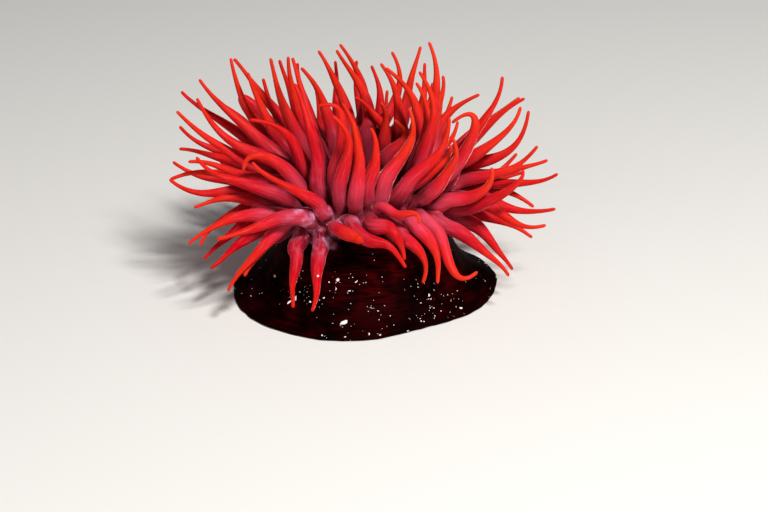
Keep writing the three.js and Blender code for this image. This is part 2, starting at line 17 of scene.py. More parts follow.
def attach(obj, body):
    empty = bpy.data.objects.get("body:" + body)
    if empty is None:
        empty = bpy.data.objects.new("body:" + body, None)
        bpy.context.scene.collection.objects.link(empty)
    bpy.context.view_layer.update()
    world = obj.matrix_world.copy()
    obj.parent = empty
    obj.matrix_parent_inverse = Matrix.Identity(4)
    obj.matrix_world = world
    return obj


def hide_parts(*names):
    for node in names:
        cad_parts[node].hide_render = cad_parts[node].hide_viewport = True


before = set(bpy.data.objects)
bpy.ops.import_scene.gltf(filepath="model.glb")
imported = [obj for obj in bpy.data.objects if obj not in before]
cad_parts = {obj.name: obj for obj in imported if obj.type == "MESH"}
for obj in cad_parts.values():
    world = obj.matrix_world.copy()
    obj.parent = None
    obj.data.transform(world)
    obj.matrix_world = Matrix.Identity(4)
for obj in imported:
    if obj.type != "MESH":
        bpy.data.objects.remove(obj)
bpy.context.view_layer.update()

MM = 0.001
TINY = 1e-9                          # keeps a quotient finite

# ---------------------------------------------------------------- driving dimensions, in millimetres
ROOT_STEP = 15.0                     # degrees between two roots of one ring of 24
SOLE_RADIUS = 26.0
LOBES = [                            # bearing, reach and half width in degrees of each lobe of the sole
    (-60, -2.6, 24), (6, 0.7, 20), (50, -3.2, 20), (-115, 0.7, 30), (212, 1.3, 28),
]
LOBES_FADE_AT = 10.0                 # height at which the column is round

TIP_RADIUS = 0.33
BULGE_AT = 0.22                      # the share of the way at which a tentacle has its full girth
SWELL = 0.16                         # how far a tentacle arches towards or away from the front, as a share
HANGING = -4                         # a tip this far below its root hangs, and arches by more
HANGING_SWELL = 0.22
OUTER_SWELL = 0.6                    # the arch at a curve's outer handle, as a share of the inner one's
STUB_LENGTH = 14                     # a tentacle drawn in to less than this is blunt, and straighter
STUB_HABIT = 3                       # how quickly that grows as it gets shorter
WANDER = 0.35                        # how far a tentacle's own bends go, and how many waves they make
WAVES = 1.4
PHASE_STEP = 2.4                     # how far each tentacle's bends lag behind its neighbour's, in radians
SAMPLES = 25
SPARE = 0.35                         # free water between two tentacles
SPARE_AT_CROWN = 0.3
SPARE_AT_FLOOR = 0.6
SPACING_ROUNDS = 36
ROUNDS_PER_SEARCH = 10               # near pairs are looked up again after so many rounds
SEARCH_MARGIN = 3.0                  # for what may come near each other in those rounds
HELD_SHARE = 0.3                     # a root is held, and moves freely from this share of the way on
EVENING_PASSES = 14

# the general habit of the crown: degrees of sway, lift, droop and upturn, and shares of the length
LOOSE_SWAY = 14
LOOSE_LIFT = 5
LOOSE_DROOP = 14
LOOSE_UPTURN = 52
LOOSE_STRETCH = 0.1
LOOSE_PARTS = (0.33, 0.35, 0.32)
LIFT_PHASE = 1.7
STRETCH_PHASE = 3.1

# the datum plane leans back by VIEW_RISE, and is sighted from VIEW_DISTANCE
VIEW_RISE = math.radians(25)
VIEW_DISTANCE = 450.0
SIGHT_ACROSS = 3.8
SIGHT_UP = 5.4
FRAME_WIDTH_MM = 153.6               # what the camera's frame spans at the sighting distance
SENSOR_MM = 36.0

# A pose: where the tip is seen on the datum plane (across, up), how far back it lies (Y), and how far the
# tentacle bows to its left at a third and at two thirds of its way. Two more numbers, where there are any,
# say how far along towards the tip the two handles of its curve lie: a hook reaches past its tip. One
# more says how stout it is beside the rest of its row.
# LOOSE follows the crown's general habit. BARE has no tentacle.
LOOSE = None
BARE = False
ROWS = [
    {"name": "inner", "ring": 9.9, "height": 20.3, "first": -180, "lift": 66, "length": 25,
     "neck": 0.8, "girth": 1.66, "taper": 1.35, "poses": [
        (-33.2, 41.2, 5, 0.5, 0.8), (-34, 37, -1, 0.7, 2), (-23.1, 32.8, -7, -2.2, -3.2),
        (-14.7, 45.3, 5, 0, -0.6), (-9.8, 35.5, -8, -2.2, -4.5, 0.33, 1), (-4.6, 36, -8, -1.5, -2),
        (0.6, 31.1, -10, -0.7, -2), (8.8, 35.3, -8, -0.6, -2), (17, 33.4, -9, -0.8, -2.3),
        (16.9, 28, -10, -0.5, -1.5), (11, 42.5, -1, -2, -3.2), (9.8, 40.3, 3, -1, -2.8),
        (12.6, 48.5, 12, -1.8, -2.4), (4.1, 43.3, 8, -2.6, -3.8), (15.2, 41.9, 14, 0, -1.5),
        (3.2, 44.2, 14, -1.4, -1.8), (5.6, 32.8, 8, -1.2, -2.8), (2.9, 36.3, 8, -1.2, -1.4),
        (-5.5, 46.9, 15, -3.6, -2.6), (-9.8, 46.6, 15, -2, -2.3), (-12.9, 43.3, 13, -1.6, -1.6),
        (-15.2, 45.7, 10, 2, 1.7), (-19.3, 45.1, 10, 0.5, 0.8), (-23.2, 42.5, 6, 1.6, 1.9),
    ]},
    {"name": "second", "ring": 12.2, "height": 20.5, "first": -172.5, "lift": 56, "length": 24,
     "neck": 0.8, "girth": 1.62, "taper": 1.25, "poses": [
        (-38, 34.5, -2, 1.2, 1), (-35.7, 24.1, -6, -0.2, -0.9), (-24.1, 22.5, -12, -3.4, -3.6, 0.33, 1.2),
        (-14.5, 40, -3, -0.9, -1.2), (-6.6, 33.7, -13, -1.05, -2.6), (-2.3, 32.4, -13, -0.4, -0.9),
        (10.8, 11.9, -20, -0.45, 1.45, 0.33, 0.94, 0.66), BARE, BARE, (17.5, 29.5, -12, -1.1, -2.5),
        (17.4, 31.8, -8, -3.7, -3.9, 0.33, 1.66), (30.9, 35.8, -2, -0.4, -2.2), (32.9, 34.6, 0, -1.9, -3.8),
        (32.2, 37.1, 8, 0, 0.3), (23, 37.9, 14, 1.2, 2.2), (12.3, 44.2, 19, -0.6, -0.8),
        (10.9, 47.7, 22, 0, -0.3), (5.3, 46.5, 22, -1.2, -2.5), (-5.1, 48, 22, -2.4, -3.2),
        (-10.4, 39.7, 16, -0.5, -0.5), (-16.9, 45, 16, 1.4, 1.2), (-26.6, 45, 15, 0.6, -0.5),
        (-27, 45.3, 10, 1.8, 2.6), (-36.8, 38.8, 8, -0.5, 0.2),
    ]},
    {"name": "third", "ring": 14.3, "height": 20.1, "first": -180, "lift": 40, "length": 25,
     "neck": 0.85, "girth": 1.64, "taper": 1.15, "poses": [
        (-37.6, 26.5, 4, -1, -1.6), (-39.2, 20.8, -4, -1.6, -2.2), (-34, 25.5, -12, 0.4, 1.3),
        (-27.3, -2.1, -20, -1.7, -1.5), (-22.4, 24.6, -16, -1.33, 0.27, -0.05, 0.58),
        (8.5, 3.3, -22, 1.4, 0.9), (7.8, 4.3, -21, 2.4, 2.5), (11.2, -0.4, -20, 2.4, 3.1),
        (14.8, -0.1, -20, 2.3, 2.1), (22.4, 2.3, -19, -0.93, -3, 0.3, 1.02),
        (25.2, 23.3, -11, -2.4, -3, 0.33, 0.99),
        (27.4, 41.8, -5, 0, -1.2), (34.8, 27.3, -2, -0.4, -1.6), (36.7, 25, 4, -0.8, -1.1),
        (31.3, 37.1, 12, 0.3, 0.8), (15.6, 38.5, 20, 0, -0.8), (-2.4, 37, 11, -1.2, -1.6),
        (1.5, 43.8, 24, 0, -0.6), LOOSE, LOOSE, LOOSE, (-20.8, 41, 18, 0.8, 0.9),
        (-22.6, 32.6, 12, -2.7, -1.3, 1.09, 1.72), (-37.3, 31.6, 6, 0, 1),
    ]},
    {"name": "fourth", "ring": 16.1, "height": 18.9, "first": -172.5, "lift": 22, "length": 23,
     "neck": 0.92, "girth": 1.64, "taper": 1.15, "poses": [
        (-39.4, 20.7, -6, -1.2, 1.2), (-34.3, 15.4, -12, -1.6, -1.5), (-35.4, 7.3, -16, -2.2, -2.8),
        (-29.9, 8.8, -22, -1.9, -0.5), (-0.6, 8.1, -23, 1, 0.6, 0.33, 0.67, 0.8), BARE, BARE, BARE, BARE,
        (28.7, 0.9, -15, 1, 1.3), (31.2, 23, -12, -2.1, -2.9, 0.27, 0.95), (36.4, 11.5, -12, 1.2, -0.6),
        (38.4, 14.8, -4, 0, -1.4), (38.8, 22.3, 2, -0.7, -1.6), (31.9, 21.8, 10, -0.5, -0.5), LOOSE, LOOSE,
        LOOSE, LOOSE, LOOSE, LOOSE, LOOSE, (-28, 35.8, 14, 0, -0.8), (-38.7, 24.1, 0, 0, 0.8),
    ]},
    {"name": "outer", "ring": 16.6, "height": 17.3, "first": -180, "lift": 4, "length": 21,
     "neck": 0.95, "girth": 1.62, "taper": 1.15, "poses": [
        (-32.5, 4.7, -10, -1.3, -0.6), (-31.2, 2.8, -14, 0.1, -0.2), (-24.2, 1.3, -19, -0.8, -0.8),
        (-14.7, -5, -23, -0.4, -0.2), (-10.5, -5.9, -25, 0.2, 0.2), BARE, BARE, BARE, BARE, BARE, BARE,
        (29.4, 2.2, -10, 1.8, 1.6), (33.7, 9.2, -6, 0.6, 0.5), (33.9, 15, 4, 1.8, 2.6), LOOSE, LOOSE, LOOSE,
        LOOSE, LOOSE, LOOSE, LOOSE, LOOSE, LOOSE, (-32.8, 6.9, -8, -1.6, -2.6),
    ]},
]

# the crown's own body, that no tentacle passes through: heights and radii
CROWN_HEIGHTS = (-1, 0, 1.2, 2, 3.6, 5.4, 7.6, 10, 12, 13.6, 14.2, 15.6, 16.4, 18.3, 18.8, 19)
CROWN_RADII = (28, 27.5, 27, 25, 22.5, 20.6, 19, 17.8, 16.8, 16.4, 17.4, 17.4, 16.4, 16.4, 15.4, 12)
SHOULDER = 16.2                      # rows from the side of the margin are free of it above here
SIDE_ROWS = ("fourth", "outer")
# where each row's tentacles start inside the margin: radius and height
STEMS = {
    "inner": (9.9, 17.6), "second": (12.2, 17.6), "third": (14.2, 17.6),
    "fourth": (14.9, 17.8), "outer": (14.9, 16.6),
}

# ---------------------------------------------------------------- skin, in millimetres
# foot, column, collar, margin, disc and lips, from the middle of the sole to the middle of the mouth
BODY_PROFILE = (
    (0, 0), (12, 0), (22, 0), (25.2, 0), (25.95, 0.2), (26.1, 0.55), (25.7, 0.95), (24.9, 1.35),
    (23.7, 1.95), (22.4, 2.8), (21.2, 3.75), (20.1, 4.9), (19.2, 6.2), (18.4, 7.7), (17.7, 9.2), (17.1, 10.7),
    (16.4, 12), (15.85, 13), (15.75, 13.7), (16.1, 14.3), (16.5, 14.9), (16.45, 15.6), (16.2, 16.2),
    (16.35, 17), (16.5, 17.8), (16.2, 18.6), (15.4, 19.1), (14, 19.5), (12.2, 19.6), (10.4, 19.5), (9.2, 19),
    (8.5, 18.2), (7.6, 17.6), (5.8, 17.9), (4.3, 18.4), (3.3, 18.95), (2.5, 19.1), (1.8, 18.8), (1.2, 18),
    (0.7, 17.4), (0, 17.2),
)
BODY_STEPS = 180
CLOSE = 0.001                        # corners nearer than this are one
CREASED_REACH = 15.0                 # folds and creases lie further out than this, between these heights
CREASED_HEIGHTS = (0.1, 15.2)
FOLDS_ROUND = 5.0                    # how closely the folds follow each other round the column
FOLDS_PER_MM = 0.06
FOLD_DEPTH = 0.35
CREASES_ROUND = 2.2
CREASES_PER_MM = 1.1
CREASE_DEPTH = 0.22
FOLD_LEVEL = 0.4                     # where a fold or a crease turns from a hollow to a ridge
FOLDS_BEGIN = (0.1, 0.6)             # heights between which the folds begin and end
FOLDS_END = (13, 15)
CRIMPS_ROUND = 14.0
CRIMPS_PLACE = 7                     # sets the crimps apart from the folds in the noise
CRIMP_DEPTH = 0.3
CRIMP_LEVEL = 0.5
CRIMPS_END = (0.3, 1.8)
MOUTH_REACH = 3.6
MOUTH_SLIT = 0.7
TENTACLE_SIDES = 14
STATIONS = 34
TIP_ROUNDING = 1.5                   # length of a tip's rounded end, in radii of the tip
TIP_END = 0.99                       # where a tip ends, as a share of the way
TIP_STEPS = (0.4, 0.7, 0.9, 0.985)   # rings of its rounded end, as shares of that end's length
STEM_ALONG = -0.05                   # the share of the way that stands for the stem, and how wide it is
STEM_FLARE = 1.1
SWELLS = 2.5                         # gentle swellings along a tentacle, and how far they stand out
SWELL_SHARE = 0.035
REFLECTION_BEARING = -120                  # where a painted pale reflection, as of light on wet skin, lies over the tentacles' roots, and how wide it is
REFLECTION_WIDTH = 28
REFLECTION_BY_ROW = {"inner": 0.25, "second": 0.35, "third": 0.85, "fourth": 1.0, "outer": 1.0}
ROOT_FLARE = 0.35                    # roots widen into each other where they leave the margin
FLARE_CURVE = 1.5
PRESS_EVENING = 5
PRESS_BEGINS = (0.04, 0.22)          # roots aren't pressed: it grows between these shares of the way
THINNEST_SHARE = 0.55
ROOT_EVENING = 8                     # passes that round off the creases where tentacles leave the crown
ROOT_REACH = 1.5                     # how far beyond a root's own radius that rounding reaches
ROOT_SHARE = 0.11                    # and how far along and how low
ROOT_LOWEST = 15.4
MARK_EVENING = 4                     # passes that soften the edge between column and tentacle colours
SKIN_SEED = 7

# ---------------------------------------------------------------- where the skin's colours begin and end
MIDDLE_TONE = 0.3                    # 0 is scarlet and 1 is crimson: deeper row by row, and deeper to the left as painted shade away from the overhead lamp
LEFT_SHADE = 0.25
ROW_TONE = 0.08
TONE_SPREAD = 0.4
MARKS = ("tentacle", "along", "tone_and_shade", "disc", "painted_reflection", "inward_shade")
LIMB_ENDS = (1.25, 1.9)              # tentacle colours end between these shares of its radius
LIMB_EDGE = 0.1
LIMB_BEGINS = (-0.05, 0.04)          # these three are shares of the way from root to tip
INWARD_SHADE_ENDS = (0.1, 0.6)
REFLECTION_ENDS = (0.1, 0.45)
INWARD_FACING = (-0.3, 0.5)          # how squarely a side faces the mouth
DISC_RISE = (17.6, 19.0)             # heights and reaches between which the crown's face begins
DISC_EDGE = (16.2, 17.2)
DISC_INNER = 9.0
FIBRE_RUN = 22                       # a tentacle's usual length, for the fibres that run along it

# ---------------------------------------------------------------- beads and grit, in millimetres
BEAD_RADIUS = 0.62
BEAD_RING = 16.75
BEAD_HEIGHT = 15.1
BEADS = 48
BEADS_START = 0.25                   # where the first one stands, as a share of a step
BEADS_HIDDEN = (190, 345)            # no bead has filled out between these bearings
# grains that stick to the skin: across and up on the datum plane, and breadth
GRAINS = (
    (-5.4, 0.6, 0.95), (-5.8, -1.2, 0.6), (-4.3, -8.0, 1.3), (-3.7, -7.7, 0.8), (-14.0, -3.0, 1.25),
    (-15.2, -3.8, 0.9), (-18.0, 1.4, 0.9), (-11.0, -3.8, 0.7), (-9.4, 1.4, 0.6), (12.8, -2.4, 0.85),
    (13.8, -1.4, 0.55), (19.2, -5.0, 0.8), (12.2, -9.0, 0.8), (1.2, -5.0, 0.5), (-22.8, -2.6, 0.4),
    (-12.4, 2.4, 0.4), (-11.6, -1.8, 0.4), (-13.0, -1.8, 0.45), (-7.2, 0.2, 0.4), (-8.2, -3.0, 0.45),
    (-3.2, -1.6, 0.4), (-1.8, 0.2, 0.4), (2.6, -5.6, 0.4), (3.4, 1.2, 0.35), (10.6, -0.8, 0.35),
    (13.2, -3.2, 0.4), (11.2, -4.0, 0.4), (17.2, -3.6, 0.4), (24.0, 0.4, 0.4), (13.8, -5.0, 0.35),
    (15.2, -5.6, 0.35), (14.0, -6.6, 0.35), (11.2, -7.6, 0.4), (8.6, -9.6, 0.45), (-8.6, -10.4, 0.5),
    (-4.0, -10.8, 0.55), (0.8, -10.2, 0.6), (3.0, -10.4, 0.5),
)
GRIT_SEED = 11
CRUMBS = 4                           # small crumbs round each named grain, and how far they scatter
CRUMB_SPREAD = 2.0
CRUMB_BREADTHS = (0.12, 0.26)
STRAY_GRAINS = 70                    # more of them all round the foot
STRAY_BEARINGS = (-20, 200)
STRAY_LOWEST = 0.6                   # most of them lie low: height and how far up they reach
STRAY_RISE = 11
STRAY_LOW_HABIT = 2.2
STRAY_BREADTH = 0.18                 # most of them are small: the least breadth and what may come on top
STRAY_EXTRA = 0.5
STRAY_SMALL_HABIT = 3
STRAY_START = 40.0                   # well outside the foot
SHARD_ROUGHNESS = (0.5, 1.2)         # how uneven a splinter is, and its proportions to its breadth
SHARD_LENGTHS = (1.0, 1.5)
SHARD_WIDTHS = (0.5, 0.9)
SHARD_DEPTHS = (0.35, 0.55)

# ---------------------------------------------------------------- patterns in the materials, in millimetres
FIBRE_SPACING = 0.3125               # muscle fibres along a tentacle, drawn coarser than life, to show
FIBRE_STRETCH = 20                   # a streak is this many times as long as it is wide
PATCH_WIDTH = 5.88                   # patches of deeper colour
REFLECTION_FLECK_WIDTH = 2.5                    # flecks of the painted reflection
WRINKLE_LENGTH = 3.333               # fine level wrinkles round the column
WRINKLE_SPACING = 0.4545
LOW_DARK_HEIGHTS = (3, 9)               # the column is darkest below the first height, and no darker above the second
SKIN_RELIEF = 0.2                    # how far fibres and wrinkles stand out
GLOW_DEPTH = 1.2                     # how deep light goes into a tentacle
BEAD_CLOUD = 1.111
SHELL_CLOUD = 2.0

# ---------------------------------------------------------------- stage, in metres
FLOOR_HALF = 2.0
KEY_PLACE = (0.2, -0.33, 0.53)
FILL_PLACE = (-0.25, -0.5, 0.2)
LAMPS_AIM = (0, 0, 0.02)
ROOM_COLOUR = (0.8, 0.83, 0.9, 1)
ROOM_STRENGTH = 0.13
NEAREST_SEEN = 0.01


# ---------------------------------------------------------------- tentacle curves
def vec(*numbers):
    return np.array(numbers, dtype=float)


SIGHT_RIGHT = vec(1, 0, 0)
SIGHT_RISE = vec(0, math.sin(VIEW_RISE), math.cos(VIEW_RISE))
SIGHT_AHEAD = vec(0, math.cos(VIEW_RISE), -math.sin(VIEW_RISE))
SIGHT_POINT = SIGHT_ACROSS * SIGHT_RIGHT + SIGHT_UP * SIGHT_RISE - VIEW_DISTANCE * SIGHT_AHEAD


def sighted(across, up, back):
    """The point at depth back that is seen at across and up on the datum plane."""
    mark = across * SIGHT_RIGHT + up * SIGHT_RISE
    share = (back - SIGHT_POINT[1]) / (mark[1] - SIGHT_POINT[1])
    return SIGHT_POINT + share * (mark - SIGHT_POINT)


def direction(bearing, lift):
    """A unit vector at that bearing and lift, in degrees."""
    bearing, lift = math.radians(bearing), math.radians(lift)
    return vec(math.cos(bearing) * math.cos(lift), math.sin(bearing) * math.cos(lift), math.sin(lift))


def unit(vector):
    return vector / np.linalg.norm(vector)


def turn_from(centre, bearing):
    """The degrees from one bearing to another, the shorter way round."""
    return (bearing - centre + 180) % 360 - 180


def smoothstep(low, high, value):
    """0 below low and 1 above high, with a smooth rise between them."""
    share = min(max((value - low) / (high - low), 0), 1)
    return share * share * (3 - 2 * share)


def root_of(row, index):
    bearing = row["first"] + ROOT_STEP * index
    return bearing, row["ring"] * direction(bearing, 0) + vec(0, 0, row["height"])


def posed_handles(row, index, pose):
    """The four handles of a posed tentacle's curve, which passes at the two bows at its thirds."""
    bearing, root = root_of(row, index)
    across, up, back, bow_near, bow_far = pose[:5]
    near, far = pose[5:7] if len(pose) > 5 else (1 / 3, 2 / 3)
    tip = sighted(across, up, back)
    span = tip - root
    left = unit(np.cross(span, SIGHT_AHEAD))
    share = HANGING_SWELL if span[2] < HANGING else SWELL
    swell = -share * np.linalg.norm(span) * math.sin(math.radians(bearing))
    first = root + near * span + (3 * bow_near - 1.5 * bow_far) * left - swell * SIGHT_AHEAD
    second = root + far * span + (3 * bow_far - 1.5 * bow_near) * left - OUTER_SWELL * swell * SIGHT_AHEAD
    return root, first, second, tip


def loose_handles(row, index, row_number):
    """Out from the root, over with its own weight, and up again at the tip."""
    bearing, root = root_of(row, index)
    sway = LOOSE_SWAY * math.sin(PHASE_STEP * index + row_number)
    lift = row["lift"] + LOOSE_LIFT * math.sin(LIFT_PHASE * index)
    length = row["length"] * (1 + LOOSE_STRETCH * math.sin(STRETCH_PHASE * index + 1))
    near, middle, far = LOOSE_PARTS
    first = root + near * length * direction(bearing, lift)
    second = first + middle * length * direction(bearing + sway, lift - LOOSE_DROOP)
    tip = second + far * length * direction(bearing + sway, lift + LOOSE_UPTURN)
    return root, first, second, tip


def bezier(handles):
    t = np.linspace(0, 1, SAMPLES)[:, None]
    a, b, c, d = handles
    return (1 - t) ** 3 * a + 3 * (1 - t) ** 2 * t * b + 3 * (1 - t) * t ** 2 * c + t ** 3 * d


def wander(points, phase):
    """A slight bend of its own, to and fro along a tentacle."""
    span = points[-1] - points[0]
    left = unit(np.cross(span, SIGHT_AHEAD))
    over = unit(np.cross(left, span))
    along = np.linspace(0, 1, SAMPLES)[:, None]
    turn = math.tau * WAVES * along + phase
    reach = WANDER * min(1, np.linalg.norm(span) / STUB_LENGTH) ** STUB_HABIT
    return points + reach * along * (np.sin(turn) * left + np.cos(turn + phase) * over)


def length_of(points):
    return np.linalg.norm(np.diff(points, axis=0), axis=1).sum()


def thickness(tentacle, along):
    """A tentacle's radius at a share of its way from root to tip."""
    neck, tip = tentacle["neck"], tentacle["tip_radius"]
    body = tip + (tentacle["girth"] - tip) * np.cos(math.pi / 2 * along ** tentacle["taper"]) ** 2
    return body * (neck + (1 - neck) * np.minimum(1, along / BULGE_AT))


def all_tentacles():
    tentacles = []
    for row_number, row in enumerate(ROWS):
        for index, pose in enumerate(row["poses"]):
            if pose is BARE:
                continue
            handles = (loose_handles(row, index, row_number) if pose is LOOSE
                       else posed_handles(row, index, pose))
            points = wander(bezier(handles), PHASE_STEP * index + row_number)
            drawn_in = max(1, STUB_LENGTH / length_of(points)) ** STUB_HABIT
            stoutness = pose[7] if pose and len(pose) > 7 else 1
            tentacles.append({
                "row": row["name"], "number": row_number, "bearing": row["first"] + ROOT_STEP * index,
                "points": points, "neck": row["neck"], "girth": row["girth"] * stoutness,
                "taper": row["taper"] * drawn_in, "tip_radius": TIP_RADIUS * drawn_in,
            })
    return tentacles


# ---------------------------------------------------------------- spacing
def near_pairs(at, reach):
    """Index pairs of points on different tentacles that lie within reach of each other."""
    firsts, seconds = [], []
    for start in range(0, len(at), SAMPLES):
        later = at[start + SAMPLES:]
        if not len(later):
            continue
        gap = at[start:start + SAMPLES, None] - later[None]
        near = (gap ** 2).sum(axis=2) < reach ** 2
        first, second = np.nonzero(near)
        firsts.append(first + start)
        seconds.append(second + start + SAMPLES)
    return np.concatenate(firsts), np.concatenate(seconds)


def all_radii(tentacles):
    """The radius at each sample of each tentacle, in one row."""
    return np.concatenate([thickness(t, np.linspace(0, 1, SAMPLES)) for t in tentacles])


def space_out(tentacles):
    """Tentacles that come too near each other move apart by the same amount, with their roots held.

    The movement is evened out along each one, so that it bends and doesn't kink.
    """
    count = len(tentacles)
    at = np.concatenate([t["points"] for t in tentacles])
    radii = all_radii(tentacles)
    on_side = np.repeat([t["row"] in SIDE_ROWS for t in tentacles], SAMPLES)
    share = np.clip(np.linspace(0, 1, SAMPLES) / HELD_SHARE, 0, 1)
    free = share ** 2 * (3 - 2 * share)
    for number in range(SPACING_ROUNDS):
        if number % ROUNDS_PER_SEARCH == 0:
            first, second = near_pairs(at, 2 * radii.max() + SPARE + SEARCH_MARGIN)
            need = radii[first] + radii[second] + SPARE
        gap = at[first] - at[second]
        distance = np.linalg.norm(gap, axis=1) + TINY
        over = np.maximum(need - distance, 0)
        weighted = (over * over / distance)[:, None] * gap
        push = np.zeros_like(at)
        total = np.zeros(len(at))
        np.add.at(push, first, weighted)
        np.add.at(push, second, -weighted)
        np.add.at(total, first, over)
        np.add.at(total, second, over)
        push *= (0.5 / np.maximum(total, TINY))[:, None]
        out = np.hypot(at[:, 0], at[:, 1])
        height = at[:, 2]
        limit = np.interp(height, CROWN_HEIGHTS, CROWN_RADII)
        too_far_in = np.maximum(limit + radii + SPARE_AT_CROWN - out, 0)
        too_far_in[(height >= CROWN_HEIGHTS[-1]) | (on_side & (height > SHOULDER))] = 0
        push[:, :2] += (0.5 * too_far_in / out)[:, None] * at[:, :2]
        push[:, 2] += 0.5 * np.maximum(radii + SPARE_AT_FLOOR - height, 0)
        push = push.reshape(count, SAMPLES, 3)
        for _ in range(EVENING_PASSES):
            even = push.copy()
            even[:, 1:-1] = 0.5 * push[:, 1:-1] + 0.25 * (push[:, :-2] + push[:, 2:])
            even[:, -1] = 0.5 * (push[:, -1] + push[:, -2])
            push = even
        at += (push * free[None, :, None]).reshape(-1, 3)
    for tentacle, points in zip(tentacles, at.reshape(count, SAMPLES, 3)):
        tentacle["points"] = points


def press_apart(tentacles):
    """Tentacles that still touch are pressed a little thinner where they do."""
    at = np.concatenate([t["points"] for t in tentacles])
    radii = all_radii(tentacles)
    first, second = near_pairs(at, 2 * radii.max())
    room = np.linalg.norm(at[first] - at[second], axis=1) / (radii[first] + radii[second])
    shares = np.ones(len(at))
    np.minimum.at(shares, first, room)
    np.minimum.at(shares, second, room)
    for tentacle, share in zip(tentacles, shares.reshape(-1, SAMPLES)):
        for _ in range(PRESS_EVENING):
            share[1:-1] = 0.5 * share[1:-1] + 0.25 * (share[:-2] + share[2:])
        tentacle["shares"] = np.maximum(share, THINNEST_SHARE)


# ---------------------------------------------------------------- stations along a tentacle
def point_at(points, along):
    """A point on the smooth curve through evenly numbered points."""
    place = min(along, 1) * (len(points) - 1)
    k = min(int(place), len(points) - 2)
    t = place - k
    before = points[k - 1] if k > 0 else 2 * points[0] - points[1]
    after = points[k + 2] if k + 2 < len(points) else 2 * points[-1] - points[-2]
    a, b = points[k], points[k + 1]
    slope_a, slope_b = (b - before) / 2, (after - a) / 2
    return ((2 * t ** 3 - 3 * t ** 2 + 1) * a + (t ** 3 - 2 * t ** 2 + t) * slope_a
            + (3 * t ** 2 - 2 * t ** 3) * b + (t ** 3 - t ** 2) * slope_b)


def lay_stations(tentacle, phase):
    """Adds to a tentacle its stations' places, radii, shares of the way, directions and sideways normals."""
    stem_radius, stem_height = STEMS[tentacle["row"]]
    stem = stem_radius * direction(tentacle["bearing"], 0) + vec(0, 0, stem_height)
    last_ring = TIP_END - TIP_ROUNDING * tentacle["tip_radius"] / length_of(tentacle["points"])
    alongs = list(np.linspace(0, last_ring, STATIONS))
    radii = []
    for along in alongs:
        swelling = 1 + SWELL_SHARE * math.sin(math.tau * (SWELLS * along + phase))
        pressed = np.interp(along, np.linspace(0, 1, SAMPLES), tentacle["shares"])
        pressed = 1 + (pressed - 1) * smoothstep(*PRESS_BEGINS, along)
        flare = 1 + ROOT_FLARE * max(0, 1 - along / BULGE_AT) ** FLARE_CURVE
        radii.append(thickness(tentacle, along) * swelling * pressed * flare)
    for step in TIP_STEPS:
        alongs.append(last_ring + (TIP_END - last_ring) * step)
        radii.append(radii[STATIONS - 1] * math.sqrt(1 - step * step))
    places = [stem] + [point_at(tentacle["points"], a) for a in alongs]
    tentacle["alongs"] = [STEM_ALONG] + alongs
    tentacle["radii"] = [STEM_FLARE * radii[0]] + radii
    tentacle["places"] = places
    tangents = [unit(b - a) for a, b in zip(places[:-1], places[1:])]
    tangents.append(tangents[-1])
    tentacle["tangents"] = [tangents[0]] + [unit(a + b) for a, b in zip(tangents[:-1], tangents[1:])]
    normal = direction(tentacle["bearing"] + 90, 0)
    normals = []
    for tangent in tentacle["tangents"]:
        normal = unit(normal - normal.dot(tangent) * tangent)
        normals.append(normal)
    tentacle["normals"] = normals


# ---------------------------------------------------------------- mesh helpers
def finished(bm, name):
    """An object at the origin that holds the bmesh, which is freed."""
    mesh = bpy.data.meshes.new(name)
    bm.to_mesh(mesh)
    bm.free()
    piece = bpy.data.objects.new(name, mesh)
    bpy.context.scene.collection.objects.link(piece)
    return piece


def joined(parts):
    """One bmesh from several, which are freed."""
    whole = bmesh.new()
    for part in parts:
        mesh = bpy.data.meshes.new("part")
        part.to_mesh(mesh)
        part.free()
        whole.from_mesh(mesh)
        bpy.data.meshes.remove(mesh)
    return whole


def shade_smooth(piece):
    for face in piece.data.polygons:
        face.use_smooth = True


def lobe_reach(bearing, height):
    """How far the foot's lobes stand out at a bearing in degrees."""
    fade = max(0, 1 - height / LOBES_FADE_AT)
    reach = 0
    for centre, lobe, width in LOBES:
        reach += lobe * math.exp(-(turn_from(centre, bearing) / width) ** 2)
    return reach * fade * fade


def crease_column(bm):
    """Shallow folds down the column, level creases round it, and a crimped edge to the foot."""
    for vert in bm.verts:
        x, y, z = vert.co / MM
        radius = math.hypot(x, y)
        if radius < CREASED_REACH or not CREASED_HEIGHTS[0] <= z <= CREASED_HEIGHTS[1]:
            continue
        turn = math.atan2(y, x)
        round_place = Vector((math.cos(turn), math.sin(turn), 0))
        folds = noise.noise(round_place * FOLDS_ROUND + Vector((0, 0, FOLDS_PER_MM * z)))
        creases = noise.noise(round_place * CREASES_ROUND + Vector((0, 0, z * CREASES_PER_MM)))
        crimps = noise.noise(round_place * CRIMPS_ROUND + Vector((0, 0, CRIMPS_PLACE)))
        crimps *= 1 - smoothstep(*CRIMPS_END, z)
        fade = smoothstep(*FOLDS_BEGIN, z) * (1 - smoothstep(*FOLDS_END, z))
        move = fade * (FOLD_DEPTH * (folds - FOLD_LEVEL) + CREASE_DEPTH * (creases - FOLD_LEVEL))
        move += CRIMP_DEPTH * (crimps - CRIMP_LEVEL)
        vert.co += move * MM * Vector((x / radius, y / radius, 0))


